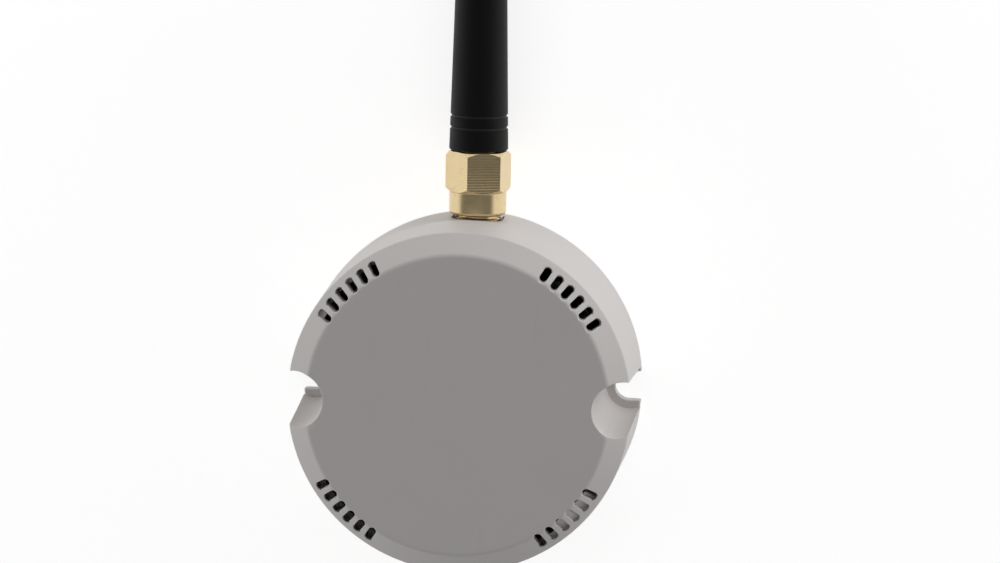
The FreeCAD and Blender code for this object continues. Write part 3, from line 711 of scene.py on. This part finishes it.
# %% Status light and switch
light_base = block("light_base", (-12.8, 12.8, board_top), (-11.2, 13.6, 6.1), 0.05)
light_top = block("light_top", (-12.5, 12.8, 6.08), (-11.5, 13.6, 6.4), 0.08)
for x0, x1 in ((-12.8, -12.5), (-11.5, -11.2)):
    solder(x0, x1, 12.85, 13.55, 0.2, 0.25, 3)
bx, by = -7.0, 12.0
switch_half, housing_top = 2.25, 7.6
housing = on_board("housing", bx, by, switch_half, switch_half, housing_top, 0.15)
combine(housing, [cylinder("well", 1.5, 6.3, 8, 48, (bx, by, 0))])
finer(housing)
plate = on_board("plate", bx, by, switch_half, switch_half, 7.8, 0.08, foot=housing_top)
combine(plate, [cylinder("hole", 1.2, 7, 8, 48, (bx, by, 0))])
rivets = [turned("rivet", rounded([(0.3, 7.7), (0.3, 7.95), (0.05, 7.95)], [0, 0.12, 0]), 20,
                 (bx + i * 1.75, by + j * 1.75, 0)) for i in (1, -1) for j in (1, -1)]
plate = finer(merged("plate", [plate] + rivets))
button = finer(turned("button", rounded([
    (0.2, 7.05), (1.4, 7.05), (1.4, 7.55), (1.1, 7.55), (1.1, 9.35), (0.2, 9.35),
], [0, 0.08, 0.08, 0.03, 0.22, 0]), 48, (bx, by, 0)))
for x in (bx + 2.3, bx - 2.3):
    for y in (by + 1.5, by - 1.5):
        solder(x - 0.25, x + 0.25, y - 0.3, y + 0.3, 0.35, 0.3)

# The feet of the clip over the coin cell.
for x in (14.55, -14.55):
    solder(x - 0.95, x + 0.95, -8.0, -3.0, 0.4, 0.28)
joints = merged("solder", joints)
print("solder:", len(joints.data.polygons), "faces")

# %% Each piece takes its node's place
def dress(piece, body, slot, *stands_for):
    """The piece rides on a body, has a finish and stands for CAD nodes."""
    piece.data.name = piece.name
    if stands_for:
        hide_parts(*stands_for)
    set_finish(piece, slot)
    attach(piece, body)


dress(shell, "shell", "shell_plastic", "front_shell")
dress(cover, "base", "shell_plastic", "base_cover")
dress(nut, "nut", "gilt_brass", "coupling_nut")
dress(jack, "base", "gilt_brass", "jack_body")
dress(sleeve, "antenna", "sleeve_rubber", "antenna_sleeve")
dress(cell, "base", "cell_steel", "cell_can")
dress(screws, "base", "screw_steel", "board_screws")
dress(joints, "base", "shield_metal")
dress(passive_bodies, "base", "passive_body", "passives")
dress(passive_caps, "base", "shield_metal")
dress(shield, "base", "shield_metal", "shield_can")
dress(radio, "base", "black_plastic", "radio_chip")
dress(amplifier, "base", "black_plastic", "amplifier_chip")
dress(pads, "base", "gilt_brass")
dress(crystal, "base", "screw_steel", "crystal")
dress(capacitor, "base", "capacitor_metal", "capacitor_can")
dress(base, "base", "black_plastic", "capacitor_base")
dress(light_base, "base", "white_core", "status_light")
dress(light_top, "base", "light_body")
dress(housing, "base", "black_plastic", "switch_housing")
dress(plate, "base", "spring_steel", "switch_frame")
dress(button, "button", "button_plastic", "switch_button")

# The CAD nodes that stay are loose triangles. Weld joins them while the scene is shown and Edge
# Split keeps their sharp edges, so that round walls are shaded smooth and the nodes' own points
# don't change.
for node in nodes.values():
    if not node.hide_render:
        node.data.shade_smooth()
        node.modifiers.new("join triangles", "WELD").merge_threshold = 1e-6
        split = node.modifiers.new("sharp edges", "EDGE_SPLIT")
        split.split_angle = math.radians(30)
print("nodes shown as they are:", sorted(n for n, o in nodes.items() if not o.hide_render))

# %% [markdown]
# ## Finishes
# Each finish starts from the real material: its colour, how much it reflects and how rough its
# tool, lathe or press left it. Patterns read Object coordinates, which are metres here, so a scale
# is one over the size in metres. At the picture's seven pixels to the millimetre a grain of spark
# erosion, about 0.05 mm, can't show, so grains are drawn as coarse as they need to be seen.


# %% Colours and nodes
def linear(code):
    """Linear colour from an sRGB hex code. Each channel c becomes c / 12.92 up to 0.04045, and
    ((c + 0.055) / 1.055) ^ 2.4 above it."""
    value = np.array([int(code[i:i + 2], 16) for i in (1, 3, 5)]) / 255
    value = np.where(value <= 0.04045, value / 12.92, ((value + 0.055) / 1.055) ** 2.4)
    return (*value.tolist(), 1.0)


def join(source, node, key):
    """Links a source to a node's input. A node as the source means its first output in use."""
    if hasattr(source, "outputs"):
        source = next(socket for socket in source.outputs if socket.enabled)
    node.id_data.links.new(source, node.inputs[key])


def add(tree, kind, settings=None, links=None):
    """Adds a node. Settings are its properties or the values of its inputs, and links are what
    its inputs are joined to."""
    node = tree.nodes.new("ShaderNode" + kind)
    for key, value in (settings or {}).items():
        if isinstance(key, str) and hasattr(node, key):
            setattr(node, key, value)
        else:
            node.inputs[key].default_value = value
    for key, source in (links or {}).items():
        join(source, node, key)
    return node


finishes = {}


def finish(slot, name, colour, roughness, metallic=0.0, ior=None, grain=0.25, depth=0.004,
           mottle=0.03, patch=6.0):
    """A slot's material, with the drift that every real finish has: its colour and roughness change
    a little over patches of that many mm, and its grain has a size and a depth in mm."""
    material = bpy.data.materials.new(name)
    material.use_nodes = True
    tree = material.node_tree
    shader = tree.nodes["Principled BSDF"]
    shader.inputs["Metallic"].default_value = metallic
    if ior:
        shader.inputs["IOR"].default_value = ior
    place = add(tree, "TexCoord").outputs["Object"]
    patches = add(tree, "TexNoise", {"Scale": 1 / (patch * MM), "Detail": 5.0}, {"Vector": place})
    shade = add(tree, "MapRange", {"To Min": 1 - mottle, "To Max": 1 + mottle}, {"Value": patches})
    tint = add(tree, "VectorMath", {"operation": "SCALE", 0: linear(colour)[:3]}, {"Scale": shade})
    join(tint, shader, "Base Color")
    drift = add(tree, "MapRange", {"To Min": roughness - 0.07, "To Max": roughness + 0.07},
                {"Value": patches})
    join(drift, shader, "Roughness")
    grains = add(tree, "TexNoise", {"Scale": 1 / (grain * MM), "Detail": 3.0}, {"Vector": place})
    bump = add(tree, "Bump", {"Distance": depth * MM}, {"Height": grains})
    join(bump, shader, "Normal")
    finishes[slot] = {"material": material, "tree": tree, "shader": shader, "place": place,
                      "tint": tint, "bump": bump}
    return finishes[slot]


# %% [markdown]
# ### Moulded ABS
# The case is ABS with a fine spark-eroded texture, which the tool's cavity leaves on it: a warm
# light grey, matt, with an IOR of 1.54. Handling leaves faint scuffs, most of them one way.

# %% ABS
abs_plastic = finish("shell_plastic", "moulded ABS", "#DAD6D4", 0.52, ior=1.54, grain=0.28,
                     depth=0.006, mottle=0.015, patch=9)
tree = abs_plastic["tree"]
stretch = add(tree, "Mapping", {"Rotation": (0.3, 0.2, 0.9), "Scale": (900, 60, 500)},
              {"Vector": abs_plastic["place"]})
scuffs = add(tree, "TexNoise", {"Scale": 1.0, "Detail": 6.0, "Roughness": 0.7}, {"Vector": stretch})
scuffed = add(tree, "MapRange", {"From Min": 0.62, "From Max": 0.72}, {"Value": scuffs})
blend = add(tree, "Math", {"operation": "MULTIPLY", 1: 0.15}, {0: scuffed})
worn = add(tree, "Mix", {"data_type": "RGBA", "B": linear("#C4C1BE")},
           {"Factor": blend, "A": abs_plastic["tint"]})
join(worn, abs_plastic["shader"], "Base Color")

# %% [markdown]
# ### Gilt brass
# The nut and the jack are brass with a thin gold plating. A pair of milling cutters takes two
# opposite flats at a time and leaves fine lines across them, about 0.37 mm apart. Their colour is
# darkened as painted shade in the grooves. The lines and that painted shade are strongest on the
# pair at 73 degrees round the axis, whose upper flat faces up. The skirt was turned smooth.
# Handling dulls the plating in spots.

# %% Brass
cutter_step = 0.37
brass = finish("gilt_brass", "gilt turned brass", "#E0CA9E", 0.24, metallic=1.0, grain=0.12,
               depth=0.0015, mottle=0.06, patch=2.5)
tree = brass["tree"]
along = add(tree, "SeparateXYZ", links={"Vector": brass["place"]}).outputs["Y"]
wander = add(tree, "TexNoise", {"Scale": 400.0, "Detail": 2.0}, {"Vector": brass["place"]})
lines = add(tree, "Math", {"operation": "MULTIPLY_ADD", 1: 2 * math.pi / (cutter_step * MM)},
            {0: along, 2: wander})
wave = add(tree, "Math", {"operation": "SINE"}, {0: lines})
sweep = add(tree, "Mapping", {"Scale": (60, 700, 60)}, {"Vector": brass["place"]})
fading = add(tree, "TexNoise", {"Scale": 1.0, "Detail": 3.0}, {"Vector": sweep})
deep = add(tree, "MapRange", {"From Min": 0.3, "From Max": 0.7, "To Min": 0.5}, {"Value": fading})
on_flats = add(tree, "MapRange", {
    "From Min": (hex_start + 0.2) * MM, "From Max": (hex_start + 0.5) * MM,
}, {"Value": along})
milled = add(tree, "Math", {"operation": "MULTIPLY"}, {0: wave, 1: deep})

# A point lies on the pair at 73 degrees, whose upper flat faces up, where its distance from the
# axis, along the pair's normal, is half the size across flats.
normal = (math.cos(pair_facing_up), 0, math.sin(pair_facing_up))
from_origin = add(tree, "VectorMath", {"operation": "DOT_PRODUCT", 1: normal}, {0: brass["place"]})
from_axis = add(tree, "Math", {
    "operation": "SUBTRACT", 1: (jack_x * normal[0] + jack_z * normal[2]) * MM,
}, {0: from_origin})
to_flat = add(tree, "Math", {"operation": "ABSOLUTE"}, {0: from_axis})
on_pair = add(tree, "Math", {
    "operation": "COMPARE", 1: across_flats / 2 * MM, 2: 0.02 * MM,
}, {0: to_flat})
deeper = add(tree, "MapRange", {"To Min": 0.2}, {"Value": on_pair})
each = add(tree, "Math", {"operation": "MULTIPLY"}, {0: milled, 1: deeper})
cut = add(tree, "Math", {"operation": "MULTIPLY"}, {0: each, 1: on_flats})
grooves = add(tree, "Bump", {"Distance": 0.02 * MM}, {"Height": cut, "Normal": brass["bump"]})
join(grooves, brass["shader"], "Normal")
# Painted shade: the lines' colour is darkened towards a dark brown, most on the pair facing up.
shade = add(tree, "MapRange", {"From Min": 0.2, "From Max": 0.9, "To Max": 0.35}, {"Value": cut})
line_shade = add(tree, "Mix", {"data_type": "RGBA", "B": linear("#7C6A44")},
            {"Factor": shade, "A": brass["tint"]})
dull = add(tree, "TexNoise", {"Scale": 700.0, "Detail": 8.0, "Roughness": 0.75},
           {"Vector": brass["place"]})
spots = add(tree, "MapRange", {"From Min": 0.57, "From Max": 0.72, "To Max": 0.5}, {"Value": dull})
worn = add(tree, "Mix", {"data_type": "RGBA", "B": linear("#9A6B40")},
           {"Factor": spots, "A": line_shade})
join(worn, brass["shader"], "Base Color")

# %% [markdown]
# ### Black rubber
# The sleeve is a moulded thermoplastic rubber: near black, with a dull sheen and a fine grain. A
# little dust makes it greyer in patches. Its two grooves are painted a lighter grey, a painted
# highlight along them.

# %% Rubber
rubber = finish("sleeve_rubber", "moulded rubber", "#0D0D0E", 0.55, ior=1.52, grain=0.2,
                depth=0.008, mottle=0.12, patch=4)
tree = rubber["tree"]
rubber["shader"].inputs["Specular IOR Level"].default_value = 0.19
dust = add(tree, "TexNoise", {"Scale": 2500.0, "Detail": 6.0, "Roughness": 0.8},
           {"Vector": rubber["place"]})
dust_and_groove_highlight = add(tree, "MapRange", {"From Min": 0.66, "From Max": 0.8, "To Max": 0.3}, {"Value": dust})
along = add(tree, "SeparateXYZ", links={"Vector": rubber["place"]}).outputs["Y"]
# Painted highlight: a lighter grey line along each groove, mixed in with the dust patches.
for place in groove_places:
    inside = add(tree, "Math", {
        "operation": "COMPARE", 1: (sleeve_start + place) * MM, 2: 0.14 * MM,
    }, {0: along})
    part = add(tree, "Math", {"operation": "MULTIPLY", 1: 0.3}, {0: inside})
    dust_and_groove_highlight = add(tree, "Math", {"operation": "MAXIMUM"}, {0: dust_and_groove_highlight, 1: part})
dust_and_highlight_tint = add(tree, "Mix", {"data_type": "RGBA", "B": linear("#55534F")},
             {"Factor": dust_and_groove_highlight, "A": rubber["tint"]})
join(dust_and_highlight_tint, rubber["shader"], "Base Color")

# %% [markdown]
# ### Inside the case
# Steel that was rolled or drawn has fine lines one way, tin and solder are bright and a little
# rough, PTFE is waxy white, chips are epoxy with a fine matt blast, and ceramic bodies are fired.

# %% Plain finishes
# Slot, name, colour, roughness, metallic, IOR, grain and its depth in mm, mottle and patch in mm. A
# row ends early where the usual values serve.
plain = (
    ("spring_steel", "nickel plated spring steel", "#C9C8C4", 0.25, 1.0, None, 0.1, 0.001),
    ("cell_steel", "nickel plated drawn steel", "#BDBDBE", 0.3, 1.0, None, 0.1, 0.001),
    ("white_core", "PTFE", "#ECECE7", 0.38, 0.0, 1.35, 0.3, 0.002),
    ("core_plastic", "moulded nylon", "#2A2A2C", 0.45, 0.0, 1.53),
    ("copper_wire", "bare copper", "#D58A66", 0.3, 1.0, None, 0.08, 0.001, 0.08),
    ("black_plastic", "moulded epoxy", "#1D1D1E", 0.6, 0.0, 1.55, 0.12, 0.003, 0.06),
    ("screw_steel", "zinc plated steel", "#B9B9BA", 0.33, 1.0, None, 0.1, 0.002, 0.06),
    ("shield_metal", "tinned steel", "#CFCEC9", 0.36, 1.0, None, 0.15, 0.002, 0.08, 1.2),
    ("passive_body", "fired ceramic", "#8A7358", 0.42, 0.0, 1.7, 0.08, 0.001, 0.15, 0.8),
    ("capacitor_metal", "drawn aluminium", "#D2D3D6", 0.3, 1.0, None, 0.1, 0.001),
    ("light_body", "clear epoxy over phosphor", "#EBDD7A", 0.15, 0.0, 1.53, 0.3, 0.001),
    ("button_plastic", "moulded nylon button", "#232324", 0.5, 0.0, 1.53, 0.15, 0.003),
    ("board_laminate", "solder mask on glass epoxy", "#0E4A2A", 0.32, 0.0, 1.55, 0.35, 0.002, 0.08),
)
for row in plain:
    finish(*row)
print("plain finishes:", len(plain))

# %% [markdown]
# ### Lines of the rolling mill, tracks and vias
# The cell's face was pressed from rolled strip, so its lines run one way. The board's copper shows
# through the green mask as lighter tracks, 0.25 mm wide and 0.6 mm apart, and its vias are gilt
# dots. The mask covers its two faces, and the milled edge between them shows the bare laminate.

# %% Patterns on steel and board
for slot, depth in (("cell_steel", 0.0015), ("spring_steel", 0.001), ("capacitor_metal", 0.001)):
    made = finishes[slot]
    tree = made["tree"]
    stretch = add(tree, "Mapping", {"Scale": (400, 12000, 400)}, {"Vector": made["place"]})
    lines = add(tree, "TexNoise", {"Scale": 1.0, "Detail": 3.0}, {"Vector": stretch})
    rolled = add(tree, "Bump", {"Distance": depth * MM}, {"Height": lines, "Normal": made["bump"]})
    join(rolled, made["shader"], "Normal")

board = finishes["board_laminate"]
tree = board["tree"]
place = add(tree, "SeparateXYZ", links={"Vector": board["place"]})
blocks = add(tree, "TexVoronoi", {"distance": "MANHATTAN", "Scale": 1 / (4.5 * MM)},
             {"Vector": board["place"]})
pick = add(tree, "SeparateColor", links={"Color": blocks.outputs["Color"]})
track_pitch, track_share = 0.6, 0.42
tracks = []
for axis, chance in (("X", "Red"), ("Y", "Green")):
    share = add(tree, "Math", {"operation": "MULTIPLY", 1: 1 / (track_pitch * MM)},
                {0: place.outputs[axis]})
    part = add(tree, "Math", {"operation": "FRACT"}, {0: share})
    line = add(tree, "Math", {"operation": "LESS_THAN", 1: track_share}, {0: part})
    there = add(tree, "Math", {"operation": "GREATER_THAN", 1: 0.55}, {0: pick.outputs[chance]})
    both = add(tree, "Math", {"operation": "MULTIPLY"}, {0: line, 1: there})
    tracks.append(both)
copper = add(tree, "Math", {"operation": "MAXIMUM"}, {0: tracks[0], 1: tracks[1]})
raised = add(tree, "Bump", {"Distance": 0.02 * MM}, {"Height": copper, "Normal": board["bump"]})
join(raised, board["shader"], "Normal")
half = add(tree, "Math", {"operation": "MULTIPLY", 1: 0.7}, {0: copper})
masked = add(tree, "Mix", {"data_type": "RGBA", "B": linear("#2B6E3E")},
             {"Factor": half, "A": board["tint"]})
cells = add(tree, "TexVoronoi", {"Scale": 1 / (2.6 * MM)}, {"Vector": board["place"]})
via = add(tree, "Math", {"operation": "LESS_THAN", 1: 0.1}, {0: cells})
gilt = add(tree, "Mix", {"data_type": "RGBA", "B": linear("#C9A24A")}, {"Factor": via, "A": masked})
board_middle, mask_starts = 4.9, 0.78
milled_edge = add(tree, "Math", {
    "operation": "COMPARE", 1: board_middle * MM, 2: mask_starts * MM,
}, {0: place.outputs["Z"]})
edged = add(tree, "Mix", {"data_type": "RGBA", "B": linear("#7E8A52")},
            {"Factor": milled_edge, "A": gilt})
join(edged, board["shader"], "Base Color")

# %% Every piece takes its finish
slot_of = {part["node"]: part["material_slot"] for part in frame["record"]["subparts"]}
for piece in list(bpy.context.scene.objects):
    slot = piece.get("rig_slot") or slot_of.get(piece.name)
    if slot:
        piece.data.materials.clear()
        piece.data.materials.append(finishes[slot]["material"])
print("finishes:", len(finishes))

# %% [markdown]
# ## Floor, lamps and camera
# The photograph was taken from nearly straight above with a long lens, against white. Its light
# comes in low, through windows to the left, right and far side, and little comes from overhead, so
# the wall is bright and the disc is not. Large soft lamps near the floor stand for the windows. The
# background is a bent sheet: a pale floor that takes the object's shadow and glows white for the
# camera and off metal and glass, and a world that goes on from it in white and gets dark overhead.
# Light that reaches matt surfaces from the world is a weak even glow.

# %% Floor
half = 3000.0
corners = np.array([[(x, y, 0) for y in (-half, half)] for x in (-half, half)])
floor = surface("floor", corners, wrap=False)
floor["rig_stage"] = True
paper = bpy.data.materials.new("white paper")
paper.use_nodes = True
sheet = paper.node_tree.nodes["Principled BSDF"]
sheet.inputs["Base Color"].default_value = linear("#E8E8E8")
sheet.inputs["Roughness"].default_value = 0.9
sheet.inputs["Specular IOR Level"].default_value = 0.1
floor.data.materials.append(paper)

world = bpy.data.worlds.new("studio")
bpy.context.scene.world = world
world.use_nodes = True

# %% Rays that show the background: the camera's, those off metal and those through clear plastic
shows = []
for tree in (paper.node_tree, world.node_tree):
    ray = add(tree, "LightPath")
    direct = add(tree, "Math", {"operation": "MAXIMUM"},
                 {0: ray.outputs["Is Camera Ray"], 1: ray.outputs["Is Glossy Ray"]})
    seen = add(tree, "Math", {"operation": "MAXIMUM"},
               {0: direct, 1: ray.outputs["Is Transmission Ray"]})
    shows.append(seen)

tree = paper.node_tree
glow_share = add(tree, "Math", {"operation": "MULTIPLY", 1: 0.68}, {0: shows[0]})
glow = add(tree, "Emission", {"Color": (1, 1, 1, 1)}, {"Strength": glow_share})
total = add(tree, "AddShader", links={0: sheet, 1: glow})
join(total, tree.nodes["Material Output"], "Surface")

tree = world.node_tree
way = add(tree, "TexCoord").outputs["Generated"]
rise = add(tree, "SeparateXYZ", links={"Vector": way}).outputs["Z"]
sheet_end = add(tree, "MapRange", {
    "interpolation_type": "SMOOTHSTEP", "From Min": 0.2, "From Max": 0.52,
    "To Min": 1.0, "To Max": 0.21,
}, {"Value": rise})
even_glow = 0.31
level = add(tree, "Mix", {2: even_glow}, {"Factor": shows[1], 3: sheet_end})
background = tree.nodes["Background"]
background.inputs["Color"].default_value = (1, 1, 1, 1)
join(level, background, "Strength")
print("floor:", 2 * half * MM, "m wide, world:", world.name)


# %% Lamps
def softbox(name, place, aim, width, height, watts):
    """Rectangular area lamp at a place, aimed at a point, both in metres. It lights matt surfaces,
    and metal shows the background instead of the lamp's outline."""
    data = bpy.data.lights.new(name, "AREA")
    data.shape = "RECTANGLE"
    data.size, data.size_y, data.energy = width, height, watts
    lamp = in_scene(name, data)
    lamp.location = place
    lamp.visible_glossy = False
    lamp.rotation_euler = (Vector(aim) - Vector(place)).to_track_quat("-Z", "Y").to_euler()


middle = (0, 0.01, 0.01)
away, lamp_height = 0.9, 0.09
for name, bearing, watts in (("right window", 20, 1.9), ("far right window", 50, 1.75),
                             ("far window", 95, 1.2), ("left window", 176, 2.6)):
    turn = math.radians(bearing)
    softbox(name, (away * math.cos(turn), away * math.sin(turn), lamp_height), middle,
            0.8, 0.17, watts)

# %% Camera
eye = Vector((0.05449, 0.09932, 0.53801))
looks_at = Vector((0.00539, 0.01697, 0.0198))
roll = math.radians(1.054)
lens_data = bpy.data.cameras.new("camera")
camera = in_scene("camera", lens_data)
lens_data.sensor_width = 36
lens_data.lens = 140.4
lens_data.clip_start = 0.01
lens_data.clip_end = 20
back = (eye - looks_at).normalized()
right = Vector((0, 1, 0)).cross(back).normalized()
turn = Matrix((right, back.cross(right), back)).transposed()
camera.matrix_world = Matrix.Translation(eye) @ turn.to_4x4() @ Matrix.Rotation(roll, 4, "Z")
bpy.context.scene.camera = camera
bpy.context.scene.view_settings.view_transform = "Standard"
print("camera:", round((eye - looks_at).length, 3), "m from the case")

# %% Sizes, and the end
visual_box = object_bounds()
for name, box in (("CAD model", cad_box), ("dressed one", visual_box)):
    print("box of the", name, [[round(c, 5) for c in corner] for corner in box])
